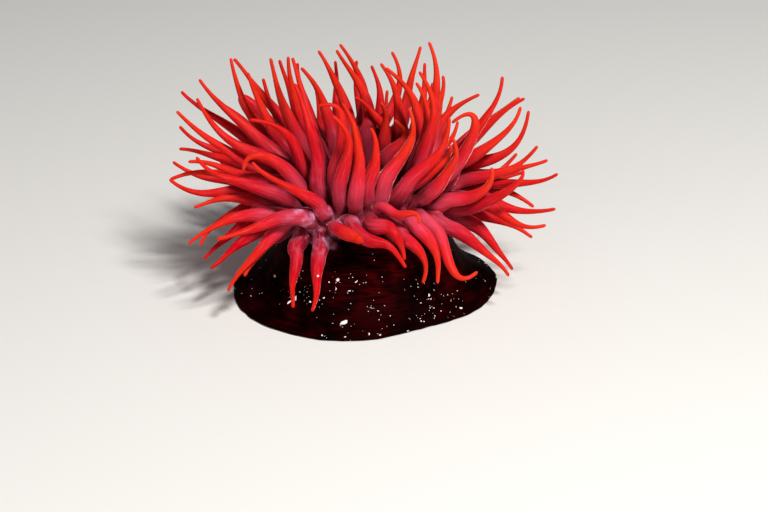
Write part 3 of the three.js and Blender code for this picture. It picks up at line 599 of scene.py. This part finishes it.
def crown_and_foot():
    """The turned body: its profile is spun round, and then gets its lobes and its slit of a mouth."""
    bm = bmesh.new()
    outline = [bm.verts.new((radius * MM, 0, height * MM)) for radius, height in BODY_PROFILE]
    edges = [bm.edges.new(pair) for pair in zip(outline[:-1], outline[1:])]
    bmesh.ops.spin(bm, geom=outline + edges, cent=(0, 0, 0), axis=(0, 0, 1), angle=math.tau,
                   steps=BODY_STEPS, use_merge=True)
    bmesh.ops.remove_doubles(bm, verts=bm.verts, dist=CLOSE * MM)
    for vert in bm.verts:
        x, y, z = vert.co / MM
        radius = math.hypot(x, y)
        if radius < CLOSE:
            continue
        if z < LOBES_FADE_AT:
            share = 1 + lobe_reach(math.degrees(math.atan2(y, x)), z) / SOLE_RADIUS
            vert.co.x *= share
            vert.co.y *= share
        elif radius < MOUTH_REACH:
            vert.co.y *= MOUTH_SLIT
    bmesh.ops.recalc_face_normals(bm, faces=bm.faces)
    crease_column(bm)
    body = finished(bm, "body")
    rounding = body.modifiers.new("rounding", "SUBSURF")
    rounding.levels = 1
    rounding.render_levels = 1
    return body


def spindle(tentacle):
    """A round tube along a tentacle's stations, extruded ring by ring to a closed tip."""
    bm = bmesh.new()
    places = [Vector(place) * MM for place in tentacle["places"]]
    tangents = [Vector(tangent) for tangent in tentacle["tangents"]]
    radii = tentacle["radii"]
    turn = Vector((0, 0, 1)).rotation_difference(tangents[0]).to_matrix().to_4x4()
    bmesh.ops.create_circle(bm, cap_ends=True, segments=TENTACLE_SIDES, radius=radii[0] * MM,
                            matrix=Matrix.Translation(places[0]) @ turn)
    ring = bm.edges[:]
    for k in range(1, len(places)):
        grown = bmesh.ops.extrude_edge_only(bm, edges=ring)["geom"]
        corners = {part for part in grown if isinstance(part, bmesh.types.BMVert)}
        ring = [part for part in grown if isinstance(part, bmesh.types.BMEdge)
                and part.verts[0] in corners and part.verts[1] in corners]
        turn = tangents[k - 1].rotation_difference(tangents[k]).to_matrix().to_4x4()
        move = (Matrix.Translation(places[k]) @ turn @ Matrix.Scale(radii[k] / radii[k - 1], 4)
                @ Matrix.Translation(-places[k - 1]))
        bmesh.ops.transform(bm, matrix=move, verts=list(corners))
    bmesh.ops.edgeloop_fill(bm, edges=ring)
    bmesh.ops.recalc_face_normals(bm, faces=bm.faces)
    return bm


def united(body, limbs):
    """The two objects as one closed mesh, on a new object."""
    union = body.modifiers.new("union", "BOOLEAN")
    union.operation = "UNION"
    union.solver = "MANIFOLD"
    union.object = limbs
    depsgraph = bpy.context.evaluated_depsgraph_get()
    mesh = bpy.data.meshes.new_from_object(body.evaluated_get(depsgraph))
    for spent in (body, limbs):
        bpy.data.objects.remove(spent)
    bm = bmesh.new()
    bm.from_mesh(mesh)
    bpy.data.meshes.remove(mesh)
    return bm


def find_stations(tentacles):
    """A search tree over every station, and which tentacle and station each entry is."""
    entries = [(t, k) for t in range(len(tentacles)) for k in range(len(tentacles[t]["places"]))]
    tree = KDTree(len(entries))
    for entry, (t, k) in enumerate(entries):
        tree.insert(tentacles[t]["places"][k], entry)
    tree.balance()
    return tree, entries


def round_off_roots(bm, tree, entries, tentacles):
    """Softens the creases where the tentacles leave the crown."""
    near_root = []
    for vert in bm.verts:
        _, entry, distance = tree.find(vert.co / MM)
        t, k = entries[entry]
        at_root = tentacles[t]["alongs"][k] < ROOT_SHARE and vert.co.z > ROOT_LOWEST * MM
        if at_root and distance < tentacles[t]["radii"][k] + ROOT_REACH:
            near_root.append(vert)
    for _ in range(ROOT_EVENING):
        bmesh.ops.smooth_vert(bm, verts=near_root, factor=0.5,
                              use_axis_x=True, use_axis_y=True, use_axis_z=True)


def evened(mesh, values):
    """One number at each corner, averaged with its neighbours' a few times over."""
    ends = np.zeros(2 * len(mesh.edges), dtype=int)
    mesh.edges.foreach_get("vertices", ends)
    near, far = ends[::2], ends[1::2]
    count = np.bincount(ends, minlength=len(values))
    for _ in range(MARK_EVENING):
        total = np.bincount(near, weights=values[far], minlength=len(values))
        total += np.bincount(far, weights=values[near], minlength=len(values))
        values = 0.5 * (values + total / np.maximum(count, 1))
    return values


def mark_skin(mesh, tree, entries, tentacles, tones_and_shades):
    """Gives each corner of the skin what its colours follow.

    tentacle: 1 on a tentacle and 0 on the body. along: the share of the way from root to tip. One tone for
    each tentacle: its own colour, at random and row by row, with painted shade that deepens it to the left.
    disc: 1 on the crown's upper face. A painted reflection, as of light on wet skin, lies pale over the roots
    at the front left, and painted shade lies on the side of a root that faces the mouth. fibre: a place that
    runs straight along a bent tentacle, in millimetres.
    """
    count = len(mesh.vertices)
    marks = {name: np.zeros(count) for name in MARKS}
    fibre = np.zeros((count, 3))
    for number, vert in enumerate(mesh.vertices):
        place = np.array(vert.co) / MM
        _, entry, distance = tree.find(place)
        t, k = entries[entry]
        tentacle = tentacles[t]
        offset = place - tentacle["places"][k]
        tangent, normal = tentacle["tangents"][k], tentacle["normals"][k]
        ahead = offset.dot(tangent)
        alongs, places = tentacle["alongs"], tentacle["places"]
        before, after = max(k - 1, 0), min(k + 1, len(alongs) - 1)
        step = alongs[after] - alongs[before]
        along = alongs[k] + ahead * step / np.linalg.norm(places[after] - places[before])
        radius = tentacle["radii"][k]
        aside = distance if ahead * ahead >= distance * distance else math.sqrt(distance ** 2 - ahead ** 2)
        on_it = 1 - smoothstep(LIMB_ENDS[0] * radius, LIMB_ENDS[1] * radius + LIMB_EDGE, aside)
        marks["tentacle"][number] = on_it * smoothstep(*LIMB_BEGINS, along)
        marks["along"][number] = min(max(along, 0), 1)
        marks["tone_and_shade"][number] = tones_and_shades[t]
        out = math.hypot(place[0], place[1])
        disc = smoothstep(*DISC_RISE, place[2]) * (1 - smoothstep(*DISC_EDGE, out))
        marks["disc"][number] = 1 if out < DISC_INNER else disc
        # painted shade on the side of a root that faces the mouth, where the crown's own shade falls
        inward_shade = -(vert.normal.x * place[0] + vert.normal.y * place[1]) / max(out, 1)
        marks["inward_shade"][number] = smoothstep(*INWARD_FACING, inward_shade) * (1 - smoothstep(*INWARD_SHADE_ENDS, along))
        # a painted pale reflection, as of light on wet skin, over the roots at the front left
        turn = turn_from(REFLECTION_BEARING, tentacle["bearing"])
        painted_reflection = REFLECTION_BY_ROW[tentacle["row"]] * math.exp(-(turn / REFLECTION_WIDTH) ** 2)
        marks["painted_reflection"][number] = painted_reflection * (1 - smoothstep(*REFLECTION_ENDS, along))
        fibre[number] = (offset.dot(normal), offset.dot(np.cross(tangent, normal)), FIBRE_RUN * along)
    for name in ("tentacle", "painted_reflection"):
        marks[name] = evened(mesh, marks[name])
    for name, values in marks.items():
        layer = mesh.attributes.new(name, "FLOAT", "POINT")
        layer.data.foreach_set("value", values)
    layer = mesh.attributes.new("fibre", "FLOAT_VECTOR", "POINT")
    layer.data.foreach_set("vector", fibre.ravel())


# ---------------------------------------------------------------- materials
# a Mix node's sockets share their names, and go by number: its factor, two numbers or two colours, and
# what they are mixed to
FACTOR = 0
NUMBER_A, NUMBER_B, MIXED_NUMBER = 2, 3, 0
COLOUR_A, COLOUR_B, MIXED_COLOUR = 6, 7, 2


def linear(code):
    """Linear colour from an sRGB hex value."""
    channels = [int(code[k:k + 2], 16) / 255 for k in (1, 3, 5)]
    return [c / 12.92 if c <= 0.04045 else ((c + 0.055) / 1.055) ** 2.4 for c in channels] + [1]


def add(tree, kind, inputs=None, **settings):
    """A node with its settings, its sockets (by name or number) set or linked, and its ramp's stops."""
    node = tree.nodes.new(kind)
    stops = settings.pop("stops", None)
    for name, value in settings.items():
        setattr(node, name, value)
    for socket, value in (inputs or {}).items():
        if isinstance(value, bpy.types.NodeSocket):
            tree.links.new(value, node.inputs[socket])
        else:
            node.inputs[socket].default_value = value
    if stops:
        elements = node.color_ramp.elements
        while len(elements) < len(stops):
            elements.new(1)
        for element, (place, colour) in zip(elements, stops):
            element.position = place
            element.color = linear(colour)
    return node


def blank_material(name):
    material = bpy.data.materials.new(name)
    material.use_nodes = True
    tree = material.node_tree
    tree.nodes.clear()
    return material, tree


def repeats(width):
    """The scale of a pattern on Object coordinates, from its width in millimetres."""
    return 1 / (width * MM)


def layered(tree, colour, *layers):
    """The colour with each layer's own colour laid over it, by the layer's share."""
    for share, over in layers:
        colour = add(tree, "ShaderNodeMix", {FACTOR: share, COLOUR_A: colour, COLOUR_B: over},
                     data_type="RGBA").outputs[MIXED_COLOUR]
    return colour


def limb_colour(tree, place, marks, streaks, patches):
    """A tentacle: scarlet to crimson by its tone, paler along its fibres, with painted shade to the left, at
    the root and where it faces the mouth, and a painted reflection over the roots at the front left.
    """
    scarlet = add(tree, "ShaderNodeValToRGB", {"Fac": marks["along"]}, stops=[
        (0.0, "#A82C46"), (0.12, "#CC465E"), (0.27, "#D0364C"), (0.42, "#D0202C"), (0.6, "#D62618"),
        (0.85, "#DC3016"), (1.0, "#DE361A"),
    ]).outputs["Color"]
    # the crimson's darkest stops, at the root, are painted shade deep in the crown
    crimson_with_root_shade = add(tree, "ShaderNodeValToRGB", {"Fac": marks["along"]}, stops=[
        (0.0, "#5C0614"), (0.15, "#900C1E"), (0.35, "#B4081E"), (0.6, "#C00616"), (1.0, "#CC140E"),
    ]).outputs["Color"]
    streak_share = add(tree, "ShaderNodeMapRange", {
        "Value": streaks, "From Min": 0.45, "From Max": 0.7, "To Max": 0.32}).outputs["Result"]
    fibre_colour = add(tree, "ShaderNodeValToRGB", {"Fac": marks["along"]}, stops=[
        (0.0, "#F06C7A"), (0.5, "#EC505A"), (0.8, "#EA3C30"),
    ]).outputs["Color"]
    patch_share = add(tree, "ShaderNodeMapRange", {
        "Value": patches, "From Min": 0.5, "From Max": 0.75, "To Max": 0.45}).outputs["Result"]
    # painted shade: dark on the side of a root that faces the mouth
    inward_shade_share = add(tree, "ShaderNodeMath", {
        0: marks["inward_shade"], 1: 0.85}, operation="MULTIPLY").outputs["Value"]
    # a painted reflection in flecks, as of light on wet skin, whitest where it is strongest
    reflection_flecks = add(tree, "ShaderNodeTexNoise", {
        "Vector": place, "Scale": repeats(REFLECTION_FLECK_WIDTH), "Detail": 2.0, "Roughness": 0.6}).outputs["Fac"]
    reflection_fleck_share = add(tree, "ShaderNodeMapRange", {
        "Value": reflection_flecks, "From Min": 0.4, "From Max": 0.68}).outputs["Result"]
    reflection_share = add(tree, "ShaderNodeMath", {
        0: marks["painted_reflection"], 1: reflection_fleck_share}, operation="MULTIPLY").outputs["Value"]
    reflection_colour = add(tree, "ShaderNodeValToRGB", {"Fac": reflection_share}, stops=[
        (0.0, "#A03A5C"), (0.5, "#CC7C9C"), (0.9, "#E0A8C8"),
    ]).outputs["Color"]
    return layered(
        tree, scarlet,
        (marks["tone_and_shade"], crimson_with_root_shade),
        (streak_share, fibre_colour),
        (patch_share, linear("#A00210")),
        (inward_shade_share, linear("#4A020C")),
        (reflection_share, reflection_colour),
    )


def body_colour(tree, place, marks, wrinkles, patches):
    """The body: a near-black column with a red ground, darker towards the bottom, and a crimson upper face.
    """
    mottle = add(tree, "ShaderNodeMix", {FACTOR: 0.45, NUMBER_A: patches, NUMBER_B: wrinkles})
    column = add(tree, "ShaderNodeValToRGB", {"Fac": mottle.outputs[MIXED_NUMBER]}, stops=[
        (0.4, "#080000"), (0.5, "#1E0001"), (0.6, "#3A0102"),
    ]).outputs["Color"]
    height = add(tree, "ShaderNodeSeparateXYZ", {"Vector": place}).outputs["Z"]
    low, high = LOW_DARK_HEIGHTS
    low_darkening = add(tree, "ShaderNodeMapRange", {
        "Value": height, "From Min": low * MM, "From Max": high * MM,
        "To Min": 0.65, "To Max": 0.0}).outputs["Result"]
    return layered(tree, column, (low_darkening, linear("#060000")), (marks["disc"], linear("#4A0610")))


def wet_skin(name, sheen, roughness, ior):
    """Living anemone skin: soft wet tissue, dark on the column and scarlet on the tentacles.

    Light goes about a millimetre into a tentacle and comes out red. Fine muscle fibres run its length, and
    fine level wrinkles run round the column.
    """
    material, tree = blank_material(name)
    place = add(tree, "ShaderNodeTexCoord").outputs["Object"]
    marks = {mark: add(tree, "ShaderNodeAttribute", attribute_name=mark).outputs["Fac"] for mark in MARKS}
    fibre = add(tree, "ShaderNodeAttribute", attribute_name="fibre").outputs["Vector"]
    fibre_place = add(tree, "ShaderNodeMapping", {
        "Vector": fibre, "Scale": (1, 1, 1 / FIBRE_STRETCH)}).outputs["Vector"]
    streaks = add(tree, "ShaderNodeTexNoise", {
        "Vector": fibre_place, "Scale": 1 / FIBRE_SPACING, "Detail": 3.0}).outputs["Fac"]
    patches = add(tree, "ShaderNodeTexNoise", {
        "Vector": place, "Scale": repeats(PATCH_WIDTH), "Detail": 2.0}).outputs["Fac"]
    across, upwards = repeats(WRINKLE_LENGTH), repeats(WRINKLE_SPACING)
    wrinkle_place = add(tree, "ShaderNodeMapping", {
        "Vector": place, "Scale": (across, across, upwards)}).outputs["Vector"]
    wrinkles = add(tree, "ShaderNodeTexNoise", {
        "Vector": wrinkle_place, "Scale": 1.0, "Detail": 3.0}).outputs["Fac"]

    limb = limb_colour(tree, place, marks, streaks, patches)
    body = body_colour(tree, place, marks, wrinkles, patches)
    colour = layered(tree, body, (marks["tentacle"], limb))
    relief = add(tree, "ShaderNodeMix", {
        FACTOR: marks["tentacle"], NUMBER_A: wrinkles, NUMBER_B: streaks}).outputs[MIXED_NUMBER]
    bump = add(tree, "ShaderNodeBump", {
        "Height": relief, "Strength": 0.6, "Distance": SKIN_RELIEF * MM}).outputs["Normal"]
    glow = add(tree, "ShaderNodeMapRange", {"Value": marks["tentacle"], "To Max": 0.25}).outputs["Result"]
    shader = add(tree, "ShaderNodeBsdfPrincipled", {
        "Base Color": colour, "Roughness": roughness, "Normal": bump, "IOR": ior,
        "Subsurface Weight": glow, "Subsurface Radius": (1.0, 0.12, 0.08),
        "Subsurface Scale": GLOW_DEPTH * MM,
        "Sheen Weight": sheen, "Sheen Roughness": 0.15, "Sheen Tint": linear("#FF9C94"),
    })
    add(tree, "ShaderNodeOutputMaterial", {"Surface": shader.outputs["BSDF"]})
    return material


def bead_skin():
    """The beads' skin: packed with stinging cells, so it is smooth, tight and bright blue."""
    material, tree = blank_material("beadlet skin")
    place = add(tree, "ShaderNodeTexCoord").outputs["Object"]
    clouds = add(tree, "ShaderNodeTexNoise", {
        "Vector": place, "Scale": repeats(BEAD_CLOUD), "Detail": 2.0}).outputs["Fac"]
    colour = add(tree, "ShaderNodeValToRGB", {"Fac": clouds}, stops=[
        (0.35, "#2A52B8"), (0.65, "#5F8FE6"),
    ]).outputs["Color"]
    shader = add(tree, "ShaderNodeBsdfPrincipled", {
        "Base Color": colour, "Roughness": 0.3, "IOR": 1.36, "Coat Weight": 0.3, "Coat Roughness": 0.15})
    add(tree, "ShaderNodeOutputMaterial", {"Surface": shader.outputs["BSDF"]})
    return material


def shell_grit():
    """Broken shell: chalky white to sand-coloured, with a grain of its own in each piece."""
    material, tree = blank_material("shell grit")
    place = add(tree, "ShaderNodeTexCoord").outputs["Object"]
    clouds = add(tree, "ShaderNodeTexNoise", {
        "Vector": place, "Scale": repeats(SHELL_CLOUD), "Detail": 2.0}).outputs["Fac"]
    colour = add(tree, "ShaderNodeValToRGB", {"Fac": clouds}, stops=[
        (0.3, "#C8B69C"), (0.45, "#ECE7DE"), (0.7, "#FBFAF7"),
    ]).outputs["Color"]
    shader = add(tree, "ShaderNodeBsdfPrincipled", {
        "Base Color": colour, "Roughness": 0.6, "IOR": 1.5})
    add(tree, "ShaderNodeOutputMaterial", {"Surface": shader.outputs["BSDF"]})
    return material


def stage_paper():
    """Matt backdrop paper."""
    material, tree = blank_material("backdrop paper")
    shader = add(tree, "ShaderNodeBsdfPrincipled", {"Base Color": linear("#E6E3DD"), "Roughness": 0.9})
    add(tree, "ShaderNodeOutputMaterial", {"Surface": shader.outputs["BSDF"]})
    return material


# ---------------------------------------------------------------- pieces
def skin():
    """The one closed skin over the foot, the column, the crown and every tentacle."""
    tentacles = all_tentacles()
    space_out(tentacles)
    press_apart(tentacles)
    chance = random.Random(SKIN_SEED)
    for tentacle in tentacles:
        lay_stations(tentacle, chance.random())
    limbs = finished(joined([spindle(tentacle) for tentacle in tentacles]), "limbs")
    bm = united(crown_and_foot(), limbs)
    tree, entries = find_stations(tentacles)
    round_off_roots(bm, tree, entries, tentacles)
    piece = finished(bm, "skin")
    tones_and_shades = []
    for tentacle in tentacles:
        # tentacles further to the left get a deeper tone as painted shade, away from the overhead lamp; the
        # random spread is their own colour
        leftward = -math.cos(math.radians(tentacle["bearing"]))
        tones_and_shades.append(MIDDLE_TONE + LEFT_SHADE * leftward + ROW_TONE * tentacle["number"]
                     + chance.uniform(-TONE_SPREAD, TONE_SPREAD))
    tones_and_shades = np.clip(tones_and_shades, 0, 1)
    mark_skin(piece.data, tree, entries, tentacles, tones_and_shades)
    shade_smooth(piece)
    piece.data.materials.append(wet_skin("column_skin", sheen=0.0, roughness=0.6, ior=1.05))
    piece.data.materials.append(wet_skin("tentacle_skin", sheen=1.0, roughness=0.35, ior=1.12))
    limb_share = np.zeros(len(piece.data.vertices))
    piece.data.attributes["tentacle"].data.foreach_get("value", limb_share)
    for face in piece.data.polygons:
        face.material_index = int(max(limb_share[corner] for corner in face.vertices) > 0.5)
    return piece


def beads():
    """A ring of small round beads under the crown, left off along the front."""
    parts = []
    for k in range(BEADS):
        bearing = 360 * (k + BEADS_START) / BEADS
        if BEADS_HIDDEN[0] < bearing < BEADS_HIDDEN[1]:
            continue
        bm = bmesh.new()
        place = Matrix.Translation(Vector(BEAD_RING * direction(bearing, 0) + vec(0, 0, BEAD_HEIGHT)) * MM)
        bmesh.ops.create_icosphere(bm, subdivisions=3, radius=BEAD_RADIUS * MM, matrix=place)
        parts.append(bm)
    piece = finished(joined(parts), "beads")
    shade_smooth(piece)
    piece.data.materials.append(bead_skin())
    return piece


def shard(chance, place, outward, breadth):
    """A splinter of shell that lies flat on the skin."""
    bm = bmesh.new()
    bmesh.ops.create_icosphere(bm, subdivisions=1, radius=0.5 * breadth * MM)
    for vert in bm.verts:
        vert.co *= chance.uniform(*SHARD_ROUGHNESS)
    length, width, depth = (chance.uniform(*sizes) for sizes in (SHARD_LENGTHS, SHARD_WIDTHS, SHARD_DEPTHS))
    stretch = Matrix.Diagonal((length, width, depth, 1))
    lie = Vector((0, 0, 1)).rotation_difference(outward).to_matrix().to_4x4()
    spin = Matrix.Rotation(chance.uniform(0, math.tau), 4, "Z")
    bmesh.ops.transform(bm, matrix=Matrix.Translation(place) @ lie @ spin @ stretch, verts=bm.verts)
    return bm


def grit(skin_piece):
    """Shell grit that sticks to the column: the grains named above, and strays all round the foot."""
    depsgraph = bpy.context.evaluated_depsgraph_get()
    surface = BVHTree.FromObject(skin_piece, depsgraph)
    chance = random.Random(GRIT_SEED)
    eye = Vector(SIGHT_POINT) * MM
    parts = []
    for across, up, breadth in GRAINS:
        for crumb in range(1 + CRUMBS):
            aside, above = (chance.gauss(0, CRUMB_SPREAD) for _ in range(2)) if crumb else (0, 0)
            aim = Vector((across + aside) * SIGHT_RIGHT + (up + above) * SIGHT_RISE) * MM - eye
            place, outward, face, _ = surface.ray_cast(eye, aim.normalized())
            if place and not (crumb and skin_piece.data.polygons[face].material_index):
                size = chance.uniform(*CRUMB_BREADTHS) if crumb else breadth
                parts.append(shard(chance, place, outward, size))
    for _ in range(STRAY_GRAINS):
        bearing = chance.uniform(*STRAY_BEARINGS)
        height = STRAY_LOWEST + STRAY_RISE * chance.random() ** STRAY_LOW_HABIT
        start = (STRAY_START * direction(bearing, 0) + vec(0, 0, height)) * MM
        place, outward, _, _ = surface.ray_cast(Vector(start), Vector(-direction(bearing, 0)))
        if place:
            breadth = STRAY_BREADTH + STRAY_EXTRA * chance.random() ** STRAY_SMALL_HABIT
            parts.append(shard(chance, place, outward, breadth))
    piece = finished(joined(parts), "shell_grit")
    piece.data.materials.append(shell_grit())
    return piece


def floor():
    bm = bmesh.new()
    bmesh.ops.create_grid(bm, x_segments=1, y_segments=1, size=FLOOR_HALF)
    piece = finished(bm, "floor")
    piece.data.materials.append(stage_paper())
    return piece


def lamp(name, place, energy, size):
    """A square soft light that points at the middle of the crown."""
    data = bpy.data.lights.new(name, "AREA")
    data.energy = energy
    data.size = size
    light = bpy.data.objects.new(name, data)
    bpy.context.scene.collection.objects.link(light)
    light.location = place
    light.rotation_euler = (Vector(LAMPS_AIM) - Vector(place)).to_track_quat("-Z", "Y").to_euler()


def lights():
    lamp("overhead", KEY_PLACE, energy=5.0, size=0.1)
    lamp("front_fill", FILL_PLACE, energy=0.5, size=0.4)
    world = bpy.data.worlds.new("studio")
    world.use_nodes = True
    background = world.node_tree.nodes["Background"]
    background.inputs["Color"].default_value = ROOM_COLOUR
    background.inputs["Strength"].default_value = ROOM_STRENGTH
    bpy.context.scene.view_settings.view_transform = "Standard"
    bpy.context.scene.world = world


def camera():
    data = bpy.data.cameras.new("camera")
    data.sensor_width = SENSOR_MM
    data.lens = SENSOR_MM * VIEW_DISTANCE / FRAME_WIDTH_MM
    data.clip_start = NEAREST_SEEN
    piece = bpy.data.objects.new("camera", data)
    bpy.context.scene.collection.objects.link(piece)
    piece.location = SIGHT_POINT * MM
    piece.rotation_euler = (math.pi / 2 - VIEW_RISE, 0, 0)
    bpy.context.scene.camera = piece


anemone = skin()
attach(anemone, "root")
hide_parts(*[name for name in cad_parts])
collar_beads = beads()
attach(collar_beads, "root")
grains = grit(anemone)
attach(grains, "root")
floor()
lights()
camera()
